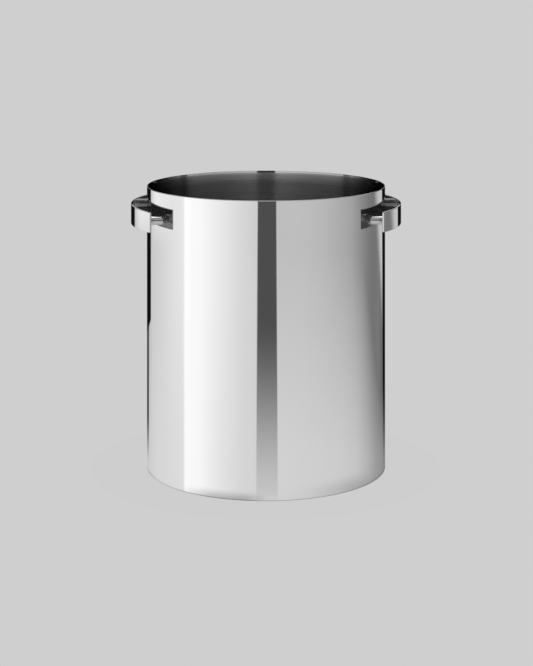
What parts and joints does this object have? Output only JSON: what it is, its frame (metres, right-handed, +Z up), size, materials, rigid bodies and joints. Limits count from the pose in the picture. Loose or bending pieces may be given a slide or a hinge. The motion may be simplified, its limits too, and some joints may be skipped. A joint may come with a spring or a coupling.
{
  "type": "champagne bucket",
  "caption": "Straight-sided round metal bucket for ice and bottles, with a curved band handle on two posts at each side below the open rim.",
  "frame": {"origin": "centre of the underside, on the plane the bucket stands on", "axes": "+Z up along the bucket's axis, +X through the middle of the right handle, -Y towards the viewer"},
  "size_m": [0.221, 0.195, 0.23],
  "materials": {
    "polished_steel": "mirror polished outside, brushed round the inside",
    "brushed_steel": "brushed round and round",
    "handle_steel": "mirror polished"
  },
  "bodies": {
    "root": {"body_tube": "polished_steel", "base_plate": "brushed_steel", "handle_band_right": "handle_steel", "handle_post_right_front": "handle_steel", "handle_post_right_rear": "handle_steel", "handle_band_left": "handle_steel", "handle_post_left_front": "handle_steel", "handle_post_left_rear": "handle_steel"}
  },
  "joints": []
}
